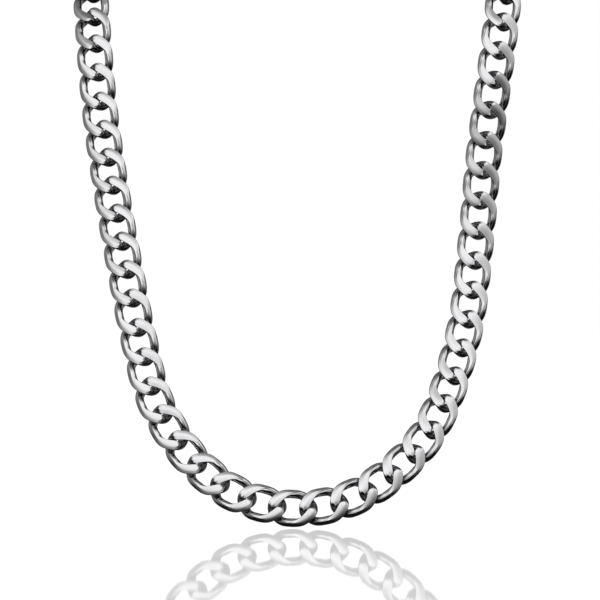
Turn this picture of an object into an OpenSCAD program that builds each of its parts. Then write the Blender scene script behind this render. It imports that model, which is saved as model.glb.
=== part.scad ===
// A heavy curb chain necklace as it hangs when worn, closed by a plain clasp at the nape.
// Millimetres. +Z is up, the front faces -Y and +X is to the viewer's right. The origin
// is under the middle of the clasp, where the chain bears on the back of the neck.

/* [Link] */
// Width of a link, across the chain
link_w = 10.3; // [9:0.1:12]
// Length of a link, along the chain
link_len = 13.8; // [13:0.1:15]
// Diameter of the round wire that a link is bent from
wire_d = 2.4; // [2:0.05:2.6]
// Turn of a link's ends about its length, in degrees
twist = 55; // [45:1:60]
// Thickness of the chain along its middle once its two faces are filed
chain_t = 3.2; // [2.8:0.1:3.6]
// How much lower a filed face is over the side bars than along the middle
face_dome = 0.45; // [0:0.05:0.8]
// How far the press spreads a filed face towards the joint
face_spread = 0.45; // [0:0.05:0.6]
// Play along the chain in each joint
joint_play = 0.4; // [0.3:0.05:0.6]

/* [Clasp] */
// Length of the clasp's body between its eyes
clasp_len = 12; // [9:0.5:18]
// Width of the clasp's body
clasp_w = 6.5; // [5:0.5:9]
// Thickness of the clasp's body
clasp_t = 3.6; // [3:0.2:5]
// Thickness of the square wire of an eye
eye_wire = 1.2; // [1:0.1:1.5]
// Clearance round the slanting end of a link inside an eye
eye_clear = 0.25; // [0.2:0.05:0.6]

/* [Hidden] */

RINGS = 16; // wire sections round a link
WIRE_SIDES = 6; // sides of a wire section
SQUARENESS = 2.5; // 2 is an ellipse, more is squarer
TWIST_POWER = 2; // 1 twists a link evenly, more keeps the twist near its ends
SPREAD_START = 0.35; // share of the half length from which the faces are spread
SPREAD_FULL = 0.8; // share of the half length at which they are spread in full
SPREAD_DEPTH = 0.8; // depth under a filed face that spreads with it, in wire radii
BEND_ANGLE = 2; // degrees either side of a wire section, for its direction
SPLINE_STEPS = 6; // samples between two rows of the route
LOOK_AHEAD = 0.02; // rows either side of a link's middle, for its direction
ROUND = 48; // sides of the clasp's round ends and eyes

// The middle line of the chain, from the nape round the left side, down, and up the right.
// Row: x, y, z, the way the face looks (0 front, 90 right), and how far it tilts up.
ROUTE = [
    [0, 0, clasp_t / 2, -180, 90],
    [-17, -1.5, 1.5, -160, 86],
    [-37.5, -12.5, -0.5, -130, 82],
    [-51.5, -32, -5, -90, 76],
    [-58, -53.5, -13.5, -42, 68],
    [-58, -71, -29, -14, 45],
    [-56.5, -83.5, -46.5, -7, 24],
    [-54, -90.5, -71, -5, 17],
    [-50, -99, -95.5, -3, 17],
    [-45.5, -107.5, -118.5, -1, 15],
    [-42, -112, -135, 0, 12],
    [-37.5, -116, -151, 0, 11],
    [-28.5, -119.5, -165.5, 0, 11],
    [-15.5, -123, -176, 0, 11],
    [1, -124.5, -180, 0, 11],
    [17, -123, -177, 0, 10],
    [31, -118.5, -167.5, 0, 8],
    [40.5, -113, -154.5, 0, 6],
    [48, -104, -132, 1, 6],
    [51.5, -97.5, -107.5, 3, 8],
    [54, -95, -82, 5, 12],
    [57.5, -94, -56, 6, 16],
    [60, -88, -37, 9, 30],
    [62, -75, -19, 20, 50],
    [63, -55, -6, 50, 70],
    [56, -32.5, -1.5, 92, 76],
    [38.5, -12, 0.5, 130, 82],
    [17, -1.5, 1.5, 160, 86],
    [0, 0, clasp_t / 2, 180, 90],
];
LAST = len(ROUTE) - 1;

wire_r = wire_d / 2;
half_len = link_len / 2 - wire_r;
half_w = link_w / 2 - wire_r;
end_reach = (wire_r + eye_wire / 2 * sin(twist)) / cos(twist);
eye_r = end_reach + eye_clear + eye_wire / 2;
eye_at = clasp_len / 2 + eye_r - eye_wire / 2;

function power(v, e) = sign(v) * pow(abs(v), e);
function unit(v) = v / norm(v);

// A link is a flat oval, twisted about its length, so that it passes through its neighbours.
function wire_middle(t) =
    let (
        s = power(cos(t), 2 / SQUARENESS),
        n = power(sin(t), 2 / SQUARENESS),
        turn = twist * power(s, TWIST_POWER)
    )
    [half_len * s, half_w * n * cos(turn), -half_w * n * sin(turn)];

// Height of the filed faces at a distance y from the middle of the chain.
function filed(y) = chain_t / 2 - face_dome * pow(y / half_w, 2);

// How much of the spread the faces have where the wire's middle stands at p.
function spread_at(p) =
    let (
        s = abs(p.x) / half_len,
        n = abs(p.y) / half_w,
        rise = max(0, min(1, (s - SPREAD_START) / (SPREAD_FULL - SPREAD_START)))
    )
    face_spread * rise * min(1, 0.45 + 1.4 * n);

// One section of the wire, square to its middle line: the inner side near a face is spread
// inwards, and the two files cut it off.
function wire_section(t) =
    let (
        middle = wire_middle(t),
        along = unit(wire_middle(t + BEND_ANGLE) - wire_middle(t - BEND_ANGLE)),
        up = unit([0, 0, 1] - along.z * along),
        out = cross(along, up),
        inward = -sign(out * middle) * out,
        spread = spread_at(middle)
    )
    [for (k = [0:WIRE_SIDES - 1])
        let (
            a = 360 * k / WIRE_SIDES,
            ray = cos(a) * out + sin(a) * up,
            p = middle + wire_r * ray,
            top = filed(p.y),
            depth = max(0, top - abs(p.z)) / (SPREAD_DEPTH * wire_r),
            q = p + spread * max(0, 1 - depth) * max(0, ray * inward) * inward
        )
        [q.x, q.y, max(-top, min(top, q.z))]];

LINK_POINTS = [for (i = [0:RINGS - 1]) each wire_section(360 * i / RINGS)];
LINK_FACES = [for (i = [0:RINGS - 1], k = [0:WIRE_SIDES - 1])
    let (
        a = i * WIRE_SIDES + k,
        b = i * WIRE_SIDES + (k + 1) % WIRE_SIDES,
        c = ((i + 1) % RINGS) * WIRE_SIDES + (k + 1) % WIRE_SIDES,
        d = ((i + 1) % RINGS) * WIRE_SIDES + k
    )
    each [[a, b, c], [a, c, d]]];

// The row before the first and the row after the last mirror the loop at the nape.
function mirrored(row, turn) = [-row[0], row[1], row[2], turn - row[3], row[4]];
function route_row(i) =
    i < 0 ? mirrored(ROUTE[1], -360) : i > LAST ? mirrored(ROUTE[LAST - 1], 360) : ROUTE[i];
function route_at(u) =
    let (
        i = min(floor(u), LAST - 1),
        f = u - i,
        a = route_row(i - 1),
        b = route_row(i),
        c = route_row(i + 1),
        d = route_row(i + 2)
    )
    (2 * b + (c - a) * f + (2 * a - 5 * b + 4 * c - d) * f * f
        + (3 * b - a - 3 * c + d) * f * f * f) / 2;
function place(row) = [row[0], row[1], row[2]];

// How far along the chain each sample of the route lies.
SAMPLES = [for (k = [0:LAST * SPLINE_STEPS]) route_at(k / SPLINE_STEPS)];
STEPS = [for (k = [1:LAST * SPLINE_STEPS]) norm(place(SAMPLES[k]) - place(SAMPLES[k - 1]))];
RUNS = [for (k = 0, run = 0; k <= len(STEPS); run = k < len(STEPS) ? run + STEPS[k] : run, k = k + 1)
    [run, k / SPLINE_STEPS]];
run_end = RUNS[LAST * SPLINE_STEPS][0];

first_link = eye_at + half_len;
chain_run = run_end - 2 * first_link;
gaps = ceil(chain_run / (link_len - 2 * wire_d - joint_play));
link_count = gaps + 1;
pitch = chain_run / gaps;

module link(i) {
    u = lookup(first_link + i * pitch, RUNS);
    row = route_at(u);
    along = unit(place(route_at(u + LOOK_AHEAD)) - place(route_at(u - LOOK_AHEAD)));
    look = [sin(row[3]) * cos(row[4]), -cos(row[3]) * cos(row[4]), sin(row[4])];
    face = unit(look - (look * along) * along);
    across = cross(face, along);
    multmatrix([
        [along.x, across.x, face.x, row[0]],
        [along.y, across.y, face.y, row[1]],
        [along.z, across.z, face.z, row[2]]
    ])
        polyhedron(LINK_POINTS, LINK_FACES);
}

module chain_left() {
    color("silver")
        for (i = [0:floor(link_count / 2) - 1]) link(i);
}

module chain_right() {
    color("silver")
        for (i = [floor(link_count / 2):link_count - 1]) link(i);
}

// An eye stands on edge at each end of the body, so that it passes between a link's corners.
module clasp_eye(side) {
    translate([side * eye_at, 0, 0])
        rotate([90, 0, 0])
            linear_extrude(eye_wire, center = true)
                difference() {
                    circle(r = eye_r + eye_wire / 2, $fn = ROUND);
                    circle(r = eye_r - eye_wire / 2, $fn = ROUND);
                }
}

module clasp() {
    color("silver")
        translate([0, 0, clasp_t / 2]) {
            clasp_eye(-1);
            clasp_eye(1);
            translate([0, 0, -clasp_t / 2])
                linear_extrude(clasp_t) {
                    square([clasp_len - clasp_w, clasp_w], center = true);
                    for (side = [-1, 1])
                        translate([side * (clasp_len - clasp_w) / 2, 0])
                            circle(d = clasp_w, $fn = ROUND);
                }
        }
}

chain_left();
chain_right();
clasp();
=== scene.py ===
# %% [markdown]
# # A heavy curb chain, hanging as it is worn
# A curb chain is a row of wire links that all twist the same way, so that the whole chain
# lies flat. Its two faces are then filed and polished, which leaves a long bright facet on
# each bar of each link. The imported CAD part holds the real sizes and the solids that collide.
# This lesson keeps that frame and builds the visible links and clasp inside it.

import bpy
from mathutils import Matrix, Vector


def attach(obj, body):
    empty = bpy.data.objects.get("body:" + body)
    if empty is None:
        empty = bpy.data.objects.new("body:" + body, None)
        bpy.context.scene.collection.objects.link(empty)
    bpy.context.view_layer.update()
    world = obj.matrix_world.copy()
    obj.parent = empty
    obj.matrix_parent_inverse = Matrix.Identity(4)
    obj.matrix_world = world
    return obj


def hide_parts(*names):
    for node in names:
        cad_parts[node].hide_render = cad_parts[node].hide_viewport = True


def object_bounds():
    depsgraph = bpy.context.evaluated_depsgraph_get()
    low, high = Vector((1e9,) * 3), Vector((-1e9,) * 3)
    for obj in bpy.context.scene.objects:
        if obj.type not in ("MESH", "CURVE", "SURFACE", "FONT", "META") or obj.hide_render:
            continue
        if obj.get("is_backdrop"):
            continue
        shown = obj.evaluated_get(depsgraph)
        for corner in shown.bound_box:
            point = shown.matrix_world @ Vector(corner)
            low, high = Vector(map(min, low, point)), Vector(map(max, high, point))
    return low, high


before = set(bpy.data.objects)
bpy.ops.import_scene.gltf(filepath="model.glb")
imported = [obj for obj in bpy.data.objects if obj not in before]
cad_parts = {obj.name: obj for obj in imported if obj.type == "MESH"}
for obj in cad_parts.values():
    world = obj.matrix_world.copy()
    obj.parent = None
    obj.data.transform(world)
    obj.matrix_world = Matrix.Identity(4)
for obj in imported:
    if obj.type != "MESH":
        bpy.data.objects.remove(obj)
cad_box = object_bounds()
print("nodes:", sorted(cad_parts))

# %% [markdown]
# The numbers of the real chain come first, in metres: the width and length of a link, the
# wire that it is bent from, and the thickness that is left after filing. Everything below is
# worked out from them. The names are those of the part, because both describe one chain.

# %% Sizes of the link
import math

import bmesh
import bpy
import numpy as np

MM = 0.001
LINK_W = 10.3 * MM
LINK_LEN = 13.8 * MM
WIRE_D = 2.4 * MM
TWIST = math.radians(55)
CHAIN_T = 3.2 * MM
FACE_DOME = 0.45 * MM
FACE_SPREAD = 0.45 * MM

WIRE_R = WIRE_D / 2
HALF_LEN = LINK_LEN / 2 - WIRE_R
HALF_W = LINK_W / 2 - WIRE_R
print("a link's middle line is", [round(2 * half / MM, 2) for half in (HALF_LEN, HALF_W)], "mm")

# %% [markdown]
# A link's middle line is an oval, a little squarer than an ellipse, whose two ends are turned
# opposite ways about its length. So each end slants from front to back and passes through
# the next link. A formula in one angle gives that line. The turn grows with the square of the
# distance from the middle, as on a real link, whose side bars stay nearly flat.

# %% The middle line of the wire
SQUARENESS = 2.5
TWIST_POWER = 2


def power(value, exponent):
    """The power of a number's size, with the number's own sign."""
    return np.sign(value) * np.abs(value) ** exponent


def wire_middle(angle):
    """Points of the wire's middle line for an array of angles in radians."""
    s = power(np.cos(angle), 2 / SQUARENESS)
    n = power(np.sin(angle), 2 / SQUARENESS)
    turn = TWIST * power(s, TWIST_POWER)
    return np.stack([HALF_LEN * s, HALF_W * n * np.cos(turn), -HALF_W * n * np.sin(turn)], axis=-1)


corner = wire_middle(np.pi / 4) / MM
print("a corner of the middle line is at", corner.round(2).tolist(), "mm")

# %% [markdown]
# The wire is swept along that line in rings. Equal angles would crowd the rings at the ends
# of the oval, so the line is measured in many fine steps first, and the rings then stand at
# even steps along it.

# %% Even steps along the wire
RINGS = 72
FINE_STEPS = 2880


def unit(vectors):
    """Vectors of an array at length 1."""
    return vectors / np.linalg.norm(vectors, axis=-1, keepdims=True)


def even_angles(count):
    """Angles at which points of the middle line stand at even steps along the wire."""
    angles = np.linspace(0, 2 * np.pi, FINE_STEPS + 1)
    steps = np.linalg.norm(np.diff(wire_middle(angles), axis=0), axis=-1)
    run = np.concatenate([[0], np.cumsum(steps)])
    return np.interp(np.arange(count) * run[-1] / count, run, angles)


ring_middles = wire_middle(even_angles(RINGS)) / MM
print("two rings are", np.linalg.norm(ring_middles[1] - ring_middles[0]).round(2), "mm apart")

# %% [markdown]
# Two files take off the front and the back, so a section is a circle with two flats. Each
# ring is drawn in two like halves: a filed face, then the wall beside it. A short curve
# rounds every rim between them, because polishing leaves no sharp edge there and a bright
# line shows on it. A soft wheel also leaves the faces domed, lower over the side bars than
# along the middle, and each facet a little crowned, which is why its shine fades across it
# instead of switching. A value marks what lies on a facet, for the finish.

# %% A section of the filed wire
RIM = 0.2 * MM
CROWN = 0.15 * MM
ROUND_TOP = 0.985
FLAT_FADE = 4
RIM_STEPS = (0, 0.25, 0.5, 0.75, 1)
FACE_STEPS = (0.25, 0.5, 0.75)
WALL_STEPS = (0.2, 0.4, 0.6, 0.8)


def on_wire(turn):
    """Points of the round wire, across it and up."""
    return WIRE_R * np.stack([np.cos(turn), np.sin(turn)], axis=-1)


def rounded(before, corner, after):
    """Points of the curve that cuts a corner between two points."""
    return [(1 - t) ** 2 * before + 2 * t * (1 - t) * corner + t**2 * after for t in RIM_STEPS]


def filed(y):
    """Height of the filed faces at a distance y from the middle of the chain."""
    return CHAIN_T / 2 - FACE_DOME * (y / HALF_W) ** 2


def filed_face(middle, out, up):
    """The angle in the middle of the front face on the round wire, and its reach either side."""
    slope = 2 * FACE_DOME * middle[:, 1] / HALF_W**2
    across, upward = slope * out[:, 1], up[:, 2] + slope * up[:, 1]
    depth = (filed(middle[:, 1]) - middle[:, 2]) / np.hypot(across, upward) / WIRE_R
    return np.arctan2(upward, across), np.arccos(np.clip(depth, -ROUND_TOP, ROUND_TOP))


def half_section(centre, reach, next_start):
    """A filed face about the angle centre, and the wall after it as far as the next face."""
    rim_turn = RIM / WIRE_R
    edge, far_edge = on_wire(centre - reach), on_wire(centre + reach)
    inset = RIM * unit(far_edge - edge)
    crown = CROWN * on_wire(centre) / WIRE_R
    face_start, face_end = edge + inset, far_edge - inset
    wall_start, wall_end = centre + reach + rim_turn, next_start - rim_turn
    points = rounded(on_wire(centre - reach - rim_turn), edge, face_start)
    for share in FACE_STEPS:
        rise = 4 * crown * share * (1 - share)
        points.append(face_start + (face_end - face_start) * share + rise)
    points += rounded(face_end, far_edge, on_wire(wall_start))
    points += [on_wire(wall_start + (wall_end - wall_start) * share) for share in WALL_STEPS]
    rim = list(RIM_STEPS)
    marks = np.array(rim + [1] * len(FACE_STEPS) + rim[::-1] + [0] * len(WALL_STEPS))
    flat = np.clip((ROUND_TOP - np.cos(reach)) / (1 - ROUND_TOP) / FLAT_FADE, 0, 1)
    return np.stack(points, axis=1), marks * flat[:, None]


half_points = 2 * len(RIM_STEPS) + len(FACE_STEPS) + len(WALL_STEPS)
print("a section has", 2 * half_points, "points")

# %% [markdown]
# Near the joints the press has spread each face inwards, until only a dark slit is left. The
# finished rings are joined into one closed tube. Each point stores its own place on the
# link, so that the finish can follow the link wherever it is laid.

# %% One link
SPREAD_START = 0.35
SPREAD_FULL = 0.8
SPREAD_DEPTH = 0.8
SPREAD_LEAST = 0.45
SPREAD_GROWTH = 1.4
NUDGE = 0.01


def spread_inwards(points, middle, out, across):
    """Moves the inner side of each face inwards, as the press does near the joints."""
    s, n = np.abs(middle[:, 0]) / HALF_LEN, np.abs(middle[:, 1]) / HALF_W
    rise = np.clip((s - SPREAD_START) / (SPREAD_FULL - SPREAD_START), 0, 1)
    spread = FACE_SPREAD * rise * np.minimum(1, SPREAD_LEAST + SPREAD_GROWTH * n)
    side = -np.sign(np.sum(out * middle, axis=-1))[:, None]
    inner = np.clip(side * across / WIRE_R, 0, 1)
    depth = np.maximum(0, filed(points[..., 1]) - np.abs(points[..., 2])) / (SPREAD_DEPTH * WIRE_R)
    share = spread[:, None] * np.clip(1 - depth, 0, 1) * inner * side
    return points + share[..., None] * out[:, None]


def link_rings():
    """The rings of the link's surface, and how far each point lies on a filed face."""
    angles = even_angles(RINGS)
    middle = wire_middle(angles)
    along = unit(wire_middle(angles + NUDGE) - wire_middle(angles - NUDGE))
    up = unit(np.array([0, 0, 1]) - along[:, 2:] * along)
    out = np.cross(along, up)
    front, rear = filed_face(middle, out, up), filed_face(-middle, out, up)
    front_half, front_marks = half_section(*front, np.pi + rear[0] - rear[1])
    rear_half, rear_marks = half_section(*rear, np.pi + front[0] - front[1])
    places = np.concatenate([front_half, -rear_half], axis=1)
    points = middle[:, None] + places[..., :1] * out[:, None] + places[..., 1:] * up[:, None]
    points = spread_inwards(points, middle, out, places[..., 0])
    return points, np.concatenate([front_marks, rear_marks], axis=1)


def ring_faces(rings, sides):
    """Quads between neighbouring rings of a closed tube, pointing outwards."""
    quads = []
    for i in range(rings):
        for k in range(sides):
            a, b = i * sides + k, i * sides + (k + 1) % sides
            shift = ((i + 1) % rings - i) * sides
            quads.append((a, a + shift, b + shift, b))
    return quads


def make_link():
    """One link as a mesh object, with its own places stored for the finish."""
    points, facet = link_rings()
    mesh = bpy.data.meshes.new("link_pattern")
    mesh.from_pydata(points.reshape(-1, 3).tolist(), [], ring_faces(*points.shape[:2]))
    mesh.attributes.new("link_place", "FLOAT_VECTOR", "POINT").data.foreach_set(
        "vector", points.reshape(-1).astype(np.float32)
    )
    mesh.attributes.new("filed", "FLOAT", "POINT").data.foreach_set(
        "value", facet.reshape(-1).astype(np.float32)
    )
    mesh.shade_smooth()
    return bpy.data.objects.new("link_pattern", mesh)


link_pattern = make_link()
print("a link has", len(link_pattern.data.polygons), "faces")

# %% [markdown]
# The chain follows the same route as the solids: from the nape round the left side, down the
# front and up the right. It starts and ends in the clasp's two eyes, so the clasp's sizes
# come first: the hole of an eye just takes the slanting end of a link. Each row of the
# table is a chosen point with the way the chain's face looks there.

# %% The clasp's sizes and the route
CLASP_LEN = 12 * MM
CLASP_W = 6.5 * MM
CLASP_T = 3.6 * MM
EYE_WIRE = 1.2 * MM
EYE_CLEAR = 0.25 * MM
JOINT_PLAY = 0.4 * MM
END_REACH = (WIRE_R + EYE_WIRE / 2 * math.sin(TWIST)) / math.cos(TWIST)
EYE_R = END_REACH + EYE_CLEAR + EYE_WIRE / 2
EYE_AT = CLASP_LEN / 2 + EYE_R - EYE_WIRE / 2

# Row: x, y, z in millimetres, the way the face looks (0 front, 90 right), how far it tilts up
ROUTE = np.array([
    (0, 0, CLASP_T / 2 / MM, -180, 90),
    (-17, -1.5, 1.5, -160, 86),
    (-37.5, -12.5, -0.5, -130, 82),
    (-51.5, -32, -5, -90, 76),
    (-58, -53.5, -13.5, -42, 68),
    (-58, -71, -29, -14, 45),
    (-56.5, -83.5, -46.5, -7, 24),
    (-54, -90.5, -71, -5, 17),
    (-50, -99, -95.5, -3, 17),
    (-45.5, -107.5, -118.5, -1, 15),
    (-42, -112, -135, 0, 12),
    (-37.5, -116, -151, 0, 11),
    (-28.5, -119.5, -165.5, 0, 11),
    (-15.5, -123, -176, 0, 11),
    (1, -124.5, -180, 0, 11),
    (17, -123, -177, 0, 10),
    (31, -118.5, -167.5, 0, 8),
    (40.5, -113, -154.5, 0, 6),
    (48, -104, -132, 1, 6),
    (51.5, -97.5, -107.5, 3, 8),
    (54, -95, -82, 5, 12),
    (57.5, -94, -56, 6, 16),
    (60, -88, -37, 9, 30),
    (62, -75, -19, 20, 50),
    (63, -55, -6, 50, 70),
    (56, -32.5, -1.5, 92, 76),
    (38.5, -12, 0.5, 130, 82),
    (17, -1.5, 1.5, 160, 86),
    (0, 0, CLASP_T / 2 / MM, 180, 90),
])
ROUTE[:, :3] *= MM
LAST = len(ROUTE) - 1
print("the hole of an eye is", round((2 * EYE_R - EYE_WIRE) / MM, 2), "mm wide")
print("the route has", len(ROUTE), "rows")

# %% [markdown]
# A Catmull-Rom spline runs through the rows, because it passes through every chosen point.
# Its length is measured, and as many links as fit stand on it at an even pitch. Each faces
# the way its place on the route says, turned square to the way the chain runs there.

# %% The links' places
SPLINE_STEPS = 6
LOOK_AHEAD = 0.02


def mirrored(row, turn):
    """A row of the route mirrored at the nape, for the spline's two ends."""
    return np.array([-row[0], row[1], row[2], turn - row[3], row[4]])


ROWS = np.vstack([mirrored(ROUTE[1], -360), ROUTE, mirrored(ROUTE[-2], 360)])


def route_at(u):
    """The route's row at u, where whole numbers are the rows of the table."""
    i = min(int(u), LAST - 1)
    f = u - i
    a, b, c, d = ROWS[i : i + 4]
    cubic = 3 * b - a - 3 * c + d
    square = 2 * a - 5 * b + 4 * c - d
    return (2 * b + (c - a) * f + square * f**2 + cubic * f**3) / 2


def link_places():
    """For each link: its middle, the way it runs and the way its face looks."""
    u = np.arange(LAST * SPLINE_STEPS + 1) / SPLINE_STEPS
    samples = np.array([route_at(x) for x in u])
    steps = np.linalg.norm(np.diff(samples[:, :3], axis=0), axis=1)
    run = np.concatenate([[0], np.cumsum(steps)])
    first = EYE_AT + HALF_LEN
    chain_run = run[-1] - 2 * first
    gaps = math.ceil(chain_run / (LINK_LEN - 2 * WIRE_D - JOINT_PLAY))
    middles, runs, looks = [], [], []
    for at in np.interp(first + np.arange(gaps + 1) * chain_run / gaps, run, u):
        row = route_at(at)
        along = unit(route_at(at + LOOK_AHEAD)[:3] - route_at(at - LOOK_AHEAD)[:3])
        facing, tilt = np.radians(row[3:5])
        level = np.array([np.sin(facing), -np.cos(facing), 0]) * np.cos(tilt)
        look = level + np.array([0, 0, np.sin(tilt)])
        middles.append(row[:3])
        runs.append(along)
        looks.append(unit(look - (look @ along) * along))
    return np.array(middles), np.array(runs), np.array(looks)


middles, runs, looks = link_places()
print(len(middles), "links in the loop")

# %% [markdown]
# Node trees are easier to read as sums than as boxes and wires. This small class wraps one
# output socket. Arithmetic on it adds Math nodes, and its one method `node` adds any other
# node with its settings and the values or links of its inputs. Geometry Nodes and shaders
# share it.

# %% A socket that does arithmetic


class Value:
    """One output socket of a node tree."""

    def __init__(self, tree, socket=None):
        self.tree = tree
        self.socket = socket

    def node(self, kind, settings=None, inputs=None, out=0):
        """Adds a node: its settings first, then its inputs, by name or number."""
        node = self.tree.nodes.new(kind)
        for name, value in (settings or {}).items():
            setattr(node, name, value)
        for key, value in (inputs or {}).items():
            if isinstance(value, Value):
                self.tree.links.new(value.socket, node.inputs[key])
            else:
                node.inputs[key].default_value = value
        return Value(self.tree, node.outputs[out])

    def math(self, operation, *values):
        """A Math node on these numbers and sockets."""
        return self.node("ShaderNodeMath", {"operation": operation}, dict(enumerate(values)))

    def smooth(self, low, high):
        """0 below low, 1 above high, and a smooth step between them."""
        inputs = {"Value": self, "From Min": low, "From Max": high}
        return self.node("ShaderNodeMapRange", {"interpolation_type": "SMOOTHSTEP"}, inputs)

    def part(self, axis):
        """The x, y or z of a vector, as 0, 1 or 2."""
        return self.node("ShaderNodeSeparateXYZ", inputs={0: self}, out=axis)

    def __add__(self, other):
        return self.math("ADD", self, other)

    def __sub__(self, other):
        return self.math("SUBTRACT", self, other)

    def __mul__(self, other):
        return self.math("MULTIPLY", self, other)

    def __rsub__(self, other):
        return self.math("SUBTRACT", other, self)

    def __neg__(self):
        return self.math("MULTIPLY", self, -1)

    __radd__ = __add__
    __rmul__ = __mul__


print("+, - and * on a Value add Math nodes")

# %% [markdown]
# Polished stainless steel is a neutral, slightly cool metal. The walls of the wire are a
# mirror with the finest of haze. The filed faces are a fine satin: the file and the wheel
# leave hair lines along each bar. So one material serves the whole chain, and the stored
# `filed` value moves it from mirror to satin. The hair lines use each link's own place, so
# they turn with the link. Towards the round ends of the wire, off the facets, the base colour
# is painted dark grey as painted shade, so the joints show as dark gaps between the facets.

# %% The steel
STEEL = (0.86, 0.86, 0.87, 1)
STEEL_DEEP = (0.8, 0.8, 0.815, 1)
# Painted shade in the joints: its dark grey, and where along a link it starts and is full.
STEEL_JOINT_SHADE = (0.35, 0.35, 0.36, 1)
JOINT_SHADE_START = 3.8 * MM
JOINT_SHADE_FULL = 5.2 * MM
HAIR_SCALE = (900, 5200, 900)
HAIR_BUMP = 0.04
HAIR_DEPTH = 0.02 * MM
CLOUD_SCALE = 420
MIRROR_ROUGH = 0.08
CLOUD_ROUGH = 0.02
SATIN_ROUGH = 0.12
HAIR_ROUGH = 0.03


def attribute(tree, name, out="Fac"):
    """A value stored on the mesh."""
    return Value(tree).node("ShaderNodeAttribute", {"attribute_name": name}, out=out)


def steel_material(name, satin=None):
    """Polished steel: a link's, with satin faces and painted shade in the joints, or evenly satin
    by a number.
    """
    material = bpy.data.materials.new(name)
    material.use_nodes = True
    tree = material.node_tree
    shader = tree.nodes["Principled BSDF"]
    facet = attribute(tree, "filed") if satin is None else satin
    place = attribute(tree, "link_place", "Vector")
    hair = place.node("ShaderNodeMapping", inputs={"Vector": place, "Scale": HAIR_SCALE})
    lines = place.node("ShaderNodeTexNoise", inputs={"Vector": hair, "Scale": 1, "Detail": 2})
    cloud = place.node(
        "ShaderNodeTexNoise", inputs={"Vector": place, "Scale": CLOUD_SCALE, "Detail": 2}
    )
    tone = place.node(
        "ShaderNodeMix",
        {"data_type": "RGBA"},
        {"Factor": cloud, 6: STEEL_DEEP, 7: STEEL},
        out=2,
    )
    # Painted shade: the base colour turns dark grey towards the round ends of the wire, off the
    # facets.
    if satin is None:
        along = place.part(0)
        joint_shade = along.math("ABSOLUTE", along).smooth(JOINT_SHADE_START, JOINT_SHADE_FULL) * (1 - facet)
        tone = place.node(
            "ShaderNodeMix",
            {"data_type": "RGBA"},
            {"Factor": joint_shade, 6: tone, 7: STEEL_JOINT_SHADE},
            out=2,
        )
    rough = MIRROR_ROUGH + CLOUD_ROUGH * cloud + facet * (SATIN_ROUGH + HAIR_ROUGH * lines)
    bump = place.node(
        "ShaderNodeBump",
        inputs={"Strength": HAIR_BUMP, "Distance": HAIR_DEPTH, "Height": lines * facet},
    )
    for socket, value in (("Base Color", tone), ("Roughness", rough), ("Normal", bump)):
        tree.links.new(value.socket, shader.inputs[socket])
    shader.inputs["Metallic"].default_value = 1
    return material


link_steel = steel_material("link_steel")
print("material", link_steel.name, "has", len(link_steel.node_tree.nodes), "nodes")

# %% [markdown]
# The links repeat, so Geometry Nodes lay them out. The tree takes a mesh with one loose point
# for each link, which carries the two directions as attributes. It puts the pattern link on
# each point, turns its length along the chain and then its face the right way, adds a very
# small random turn, because no jeweller bends two links quite alike, and ends in real mesh
# with its material.

# %% The tree that lays out the links


def add_input(tree, name, kind, default=None):
    """A named input of the tree."""
    socket = tree.interface.new_socket(name=name, in_out="INPUT", socket_type=kind)
    if default is not None:
        socket.default_value = default


def chain_tree():
    """Geometry Nodes that put a link on each point of a mesh."""
    tree = bpy.data.node_groups.new("lay_out_links", "GeometryNodeTree")
    add_input(tree, "Points", "NodeSocketGeometry")
    add_input(tree, "Link", "NodeSocketObject")
    add_input(tree, "Steel", "NodeSocketMaterial")
    add_input(tree, "Uneven", "NodeSocketFloat", 0.0)
    add_input(tree, "Seed", "NodeSocketInt", 0)
    tree.interface.new_socket(name="Chain", in_out="OUTPUT", socket_type="NodeSocketGeometry")
    given = tree.nodes.new("NodeGroupInput")
    points, link, steel, uneven, seed = [Value(tree, given.outputs[i]) for i in range(5)]

    def stored(name):
        return points.node(
            "GeometryNodeInputNamedAttribute", {"data_type": "FLOAT_VECTOR"}, {"Name": name}
        )

    def turned(name, axis, pivot, start):
        settings = {"axis": axis, "pivot_axis": pivot}
        inputs = {"Vector": stored(name), **start}
        return points.node("FunctionNodeAlignRotationToVector", settings, inputs)

    lengthwise = turned("runs", "X", "AUTO", {})
    faced = turned("looks", "Z", "X", {"Rotation": lengthwise})
    wobble = points.node(
        "FunctionNodeRandomValue",
        {"data_type": "FLOAT_VECTOR"},
        {"Min": (-1, -1, -1), "Max": (1, 1, 1), "Seed": seed},
    )
    scaled = points.node(
        "ShaderNodeVectorMath", {"operation": "SCALE"}, {0: wobble, "Scale": uneven}
    )
    own_turn = points.node("FunctionNodeEulerToRotation", inputs={0: scaled})
    rotation = points.node(
        "FunctionNodeRotateRotation",
        {"rotation_space": "LOCAL"},
        {"Rotation": faced, "Rotate By": own_turn},
    )
    pattern = points.node("GeometryNodeObjectInfo", inputs={"Object": link}, out="Geometry")
    placed = points.node(
        "GeometryNodeInstanceOnPoints",
        inputs={"Points": points, "Instance": pattern, "Rotation": rotation},
    )
    real = points.node("GeometryNodeRealizeInstances", inputs={"Geometry": placed})
    coated = points.node("GeometryNodeSetMaterial", inputs={"Geometry": real, "Material": steel})
    result = tree.nodes.new("NodeGroupOutput")
    tree.links.new(coated.socket, result.inputs[0])
    return tree


lay_out_links = chain_tree()
print("tree", lay_out_links.name, "has", len(lay_out_links.nodes), "nodes")

# %% [markdown]
# Each half of the loop is one piece, as in the solids. The modifier's inputs are set by their
# identifiers before the object is first evaluated. The evaluated result becomes a plain mesh,
# and the modifier and the helper objects go away.

# %% Make the two halves of the chain
UNEVEN = math.radians(0.5)
SEED = 7


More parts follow.
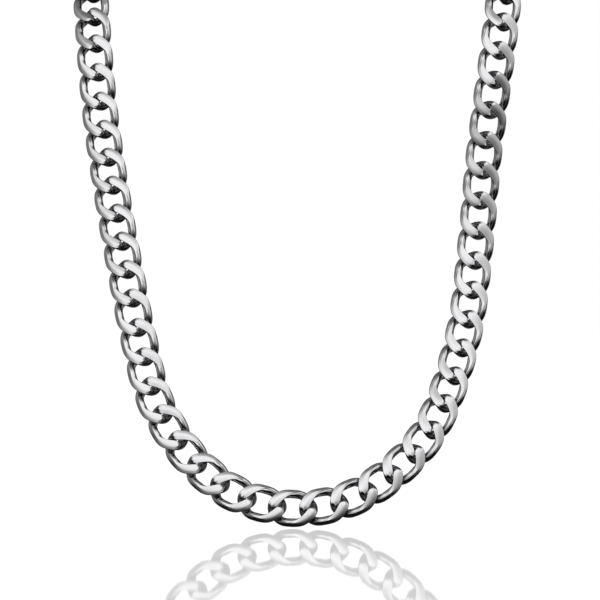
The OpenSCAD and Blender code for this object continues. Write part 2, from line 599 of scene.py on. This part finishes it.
def points_object(name, chosen):
    """A mesh of loose points that carry the directions of their links."""
    mesh = bpy.data.meshes.new(name)
    mesh.from_pydata(middles[chosen].tolist(), [], [])
    for key, vectors in (("runs", runs), ("looks", looks)):
        values = vectors[chosen].astype(np.float32).reshape(-1)
        mesh.attributes.new(key, "FLOAT_VECTOR", "POINT").data.foreach_set("vector", values)
    obj = bpy.data.objects.new(name, mesh)
    bpy.context.scene.collection.objects.link(obj)
    return obj


def laid_out(name, chosen, seed):
    """A half of the chain as a plain mesh object."""
    helper = points_object(name + "_points", chosen)
    modifier = helper.modifiers.new("links", "NODES")
    modifier.node_group = lay_out_links
    settings = {"Link": link_pattern, "Steel": link_steel, "Uneven": UNEVEN, "Seed": seed}
    for item in lay_out_links.interface.items_tree:
        if item.name in settings:
            modifier[item.identifier] = settings[item.name]
    evaluated = helper.evaluated_get(bpy.context.evaluated_depsgraph_get())
    mesh = bpy.data.meshes.new_from_object(evaluated)
    mesh.name = name
    bpy.data.objects.remove(helper)
    piece = bpy.data.objects.new(name, mesh)
    bpy.context.scene.collection.objects.link(piece)
    return piece


half = len(middles) // 2
chain_left = laid_out("links_left", slice(0, half), SEED)
chain_right = laid_out("links_right", slice(half, len(middles)), SEED + 1)
for piece, node in ((chain_left, "chain_left"), (chain_right, "chain_right")):
    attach(piece, "root")
    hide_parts(node)
    print(piece.name, len(piece.data.polygons), "faces")

# %% [markdown]
# The clasp is made of flat outlines that are pulled up to a thickness. Two helpers draw an
# arc and pull outlines up. A third breaks the sharp rims with a bevel, as a file does on
# the real piece.

# %% Helpers for the clasp
ROUND_STEPS = 48
RIM_SEGMENTS = 3
SHARP_FROM = math.radians(40)


def extruded(bm, loops, axis, low, high):
    """Walls and caps between loops of flat points; two loops leave a hole between them."""
    made = []
    for loop in loops:
        ends = []
        for level in (low, high):
            places = [(*point[:axis], level, *point[axis:]) for point in loop]
            ends.append([bm.verts.new(place) for place in places])
        made.append(ends)
    for bottom, top in made:
        for k in range(len(bottom)):
            bm.faces.new([bottom[k - 1], bottom[k], top[k], top[k - 1]])
    for rings in zip(*made):
        if len(rings) == 1:
            bm.faces.new(rings[0])
        else:
            outer, inner = rings
            for k in range(len(outer)):
                bm.faces.new([outer[k - 1], outer[k], inner[k], inner[k - 1]])


def arc_points(radius, centre, start, end):
    """Points of an arc, with both of its ends."""
    turns = [start + (end - start) * k / ROUND_STEPS for k in range(ROUND_STEPS + 1)]
    return [(centre[0] + radius * math.cos(a), centre[1] + radius * math.sin(a)) for a in turns]


def bevelled(bm, width):
    """Breaks the sharp rims."""
    bmesh.ops.recalc_face_normals(bm, faces=bm.faces)
    sharp = [e for e in bm.edges if e.calc_face_angle(0) > SHARP_FROM]
    bmesh.ops.bevel(
        bm,
        geom=sharp,
        offset=width,
        segments=RIM_SEGMENTS,
        profile=0.5,
        affect="EDGES",
        clamp_overlap=True,
    )


print("a full arc has", len(arc_points(EYE_R, (0, 0), 0, 2 * math.pi)), "points")

# %% [markdown]
# A worn necklace hides its clasp behind the neck. The photograph shows none, so this one is a
# plain bar with round ends and an eye at each end. The eyes are square rings that stand on
# edge, so that they can pass between a link's corners. Its finish is an even fine satin.

# %% Make the clasp
BAR_RIM = 0.45 * MM
EYE_RIM = 0.3 * MM
SHADE_SHARP_FROM = math.radians(35)
CLASP_SATIN = 0.6


def clasp_mesh():
    """The bar and its two eyes in one mesh."""
    whole = bmesh.new()
    straight = (CLASP_LEN - CLASP_W) / 2
    outline = arc_points(CLASP_W / 2, (straight, 0), -math.pi / 2, math.pi / 2)
    outline += arc_points(CLASP_W / 2, (-straight, 0), math.pi / 2, 1.5 * math.pi)
    bar = bmesh.new()
    extruded(bar, [outline], 2, 0, CLASP_T)
    bevelled(bar, BAR_RIM)
    pieces = [bar]
    for side in (-1, 1):
        eye = bmesh.new()
        middle = (side * EYE_AT, CLASP_T / 2)
        radii = (EYE_R + EYE_WIRE / 2, EYE_R - EYE_WIRE / 2)
        rings = [arc_points(radius, middle, 0, 2 * math.pi)[:-1] for radius in radii]
        extruded(eye, rings, 1, -EYE_WIRE / 2, EYE_WIRE / 2)
        bevelled(eye, EYE_RIM)
        pieces.append(eye)
    for part in pieces:
        part_mesh = bpy.data.meshes.new("clasp_part")
        part.to_mesh(part_mesh)
        part.free()
        whole.from_mesh(part_mesh)
        bpy.data.meshes.remove(part_mesh)
    mesh = bpy.data.meshes.new("clasp_body")
    whole.to_mesh(mesh)
    whole.free()
    places = np.zeros(len(mesh.vertices) * 3, np.float32)
    mesh.vertices.foreach_get("co", places)
    mesh.attributes.new("link_place", "FLOAT_VECTOR", "POINT").data.foreach_set("vector", places)
    mesh.shade_smooth()
    mesh.set_sharp_from_angle(angle=SHADE_SHARP_FROM)
    return mesh


clasp = bpy.data.objects.new("clasp_body", clasp_mesh())
bpy.context.scene.collection.objects.link(clasp)
clasp.data.materials.append(steel_material("clasp_steel", CLASP_SATIN))
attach(clasp, "root")
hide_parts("clasp")
print("clasp:", len(clasp.data.polygons), "faces")

# %% [markdown]
# The camera stands straight in front, level, a little above the lowest links, and far enough
# back for the flat perspective of a product picture. The focal length follows from the scale
# of the photograph: at the front links a pixel is 0.2725 mm, seen from a metre away.

# %% The camera
FRAME_PX = 600
SENSOR_MM = 36
CAMERA_BACK = 1.0
METRES_PER_PX = 0.2725 * MM
FRONT_Y = -0.126
CAMERA_X = 2.3 * MM
CAMERA_Z = -123.1 * MM

camera = bpy.data.objects.new("camera", bpy.data.cameras.new("camera"))
camera.location = (CAMERA_X, FRONT_Y - CAMERA_BACK, CAMERA_Z)
camera.rotation_euler = (math.pi / 2, 0, 0)
camera.data.sensor_width = SENSOR_MM
camera.data.lens = CAMERA_BACK / METRES_PER_PX / FRAME_PX * SENSOR_MM
bpy.context.scene.collection.objects.link(camera)
bpy.context.scene.camera = camera
print("the lens is", round(camera.data.lens, 1), "mm long")

# %% [markdown]
# Polished metal shows its surroundings and little else, so the light is drawn as what a
# jewellery photographer builds: a large white panel round the camera, which fades towards
# the lower right, the floor and the ceiling. Weak grey ones stand at the sides, above and
# behind, so that the back of the chain can be seen too, and black card lies below. The
# world's shader describes them by direction: each fade runs between two values of a
# direction's right, back or up. The backdrop stays plain white, and the rims that the
# camera sees at a grazing angle mirror the strip of it straight behind.

# %% Soft studio light
WHITE = (1, 1, 1, 1)
PANEL = 1.02
PANEL_SLANT = 0.05
PANEL_LOSS = 0.55
LOSS_SLANT = 1.5
GREY_LEFT = 0.17
GREY_RIGHT = 0.12
GREY_ABOVE = 0.14
GREY_BEHIND = 0.16
CARD = 0.006


def studio_world():
    """Panels and cards round the chain, by the direction in which they stand."""
    world = bpy.data.worlds.new("studio")
    world.use_nodes = True
    tree = world.node_tree
    tree.nodes.clear()
    toward = Value(tree).node("ShaderNodeTexCoord", out="Generated")
    right, back, up = [toward.part(axis) for axis in range(3)]
    left = -right
    front = -back
    panel = (up - PANEL_SLANT * right).smooth(-0.28, 0.3) * (1 - up.smooth(0.62, 0.95))
    panel = panel * right.smooth(-0.75, -0.3) * front.smooth(-0.15, 0.2)
    panel = panel * (1 - PANEL_LOSS * (right - LOSS_SLANT * up).smooth(-0.6, 0))
    at_left = left.smooth(0.3, 0.9) * up.smooth(-0.5, 0.1)
    at_right = right.smooth(0.4, 0.9) * up.smooth(-0.4, 0.2)
    above = up.smooth(0.2, 0.9)
    behind = back.smooth(0.4, 0.85) * (1 - up.smooth(0.1, 0.5))
    backdrop = back.smooth(0.965, 0.975) * up.smooth(-0.03, -0.01)
    glow = CARD + PANEL * panel + backdrop + GREY_BEHIND * behind
    glow = glow + GREY_LEFT * at_left + GREY_RIGHT * at_right + GREY_ABOVE * above
    seen = toward.node("ShaderNodeLightPath", out="Is Camera Ray")
    strength = glow + seen * (1 - glow)
    light = toward.node("ShaderNodeBackground", inputs={"Color": WHITE, "Strength": strength})
    output = tree.nodes.new("ShaderNodeOutputWorld")
    tree.links.new(light.socket, output.inputs[0])
    return world


scene = bpy.context.scene
scene.world = studio_world()
scene.view_settings.view_transform = "Standard"
print("world", scene.world.name, "has", len(scene.world.node_tree.nodes), "nodes")

# %% [markdown]
# The floor is a pale glossy table just under the lowest link. It glows white like a lit
# acrylic sheet and mirrors two fifths of what stands over it. The chain doesn't see it, so
# that the undersides of the links stay dark, as they do over a black card.

# %% The floor
FLOOR_Z = -185.3 * MM
FLOOR_HALF = 3.0
MIRROR_SHARE = 0.4
MIRROR_BLUR = 0.03


def floor_material():
    """White acrylic with a weak mirror."""
    material = bpy.data.materials.new("floor_white")
    material.use_nodes = True
    tree = material.node_tree
    tree.nodes.clear()
    white = Value(tree).node("ShaderNodeEmission", inputs={"Color": WHITE})
    mirror = white.node("ShaderNodeBsdfGlossy", inputs={"Color": WHITE, "Roughness": MIRROR_BLUR})
    mixed = white.node("ShaderNodeMixShader", inputs={0: MIRROR_SHARE, 1: white, 2: mirror})
    output = tree.nodes.new("ShaderNodeOutputMaterial")
    tree.links.new(mixed.socket, output.inputs[0])
    return material


def floor_object():
    """A wide flat sheet."""
    mesh = bpy.data.meshes.new("floor")
    corners = [(-1, -1), (1, -1), (1, 1), (-1, 1)]
    places = [(x * FLOOR_HALF, y * FLOOR_HALF, FLOOR_Z) for x, y in corners]
    mesh.from_pydata(places, [], [(0, 1, 2, 3)])
    mesh.materials.append(floor_material())
    obj = bpy.data.objects.new("floor", mesh)
    bpy.context.scene.collection.objects.link(obj)
    obj.visible_glossy = False
    return obj


floor = floor_object()
floor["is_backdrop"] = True
print("the floor is at", round(FLOOR_Z / MM, 2), "mm")

# %% Compare the boxes and finish
bpy.data.objects.remove(link_pattern)
seen_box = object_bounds()
for name, (low, high) in (("CAD", cad_box), ("visual", seen_box)):
    print(name, "box, mm:", [round(x / MM, 2) for x in (*low, *high)])
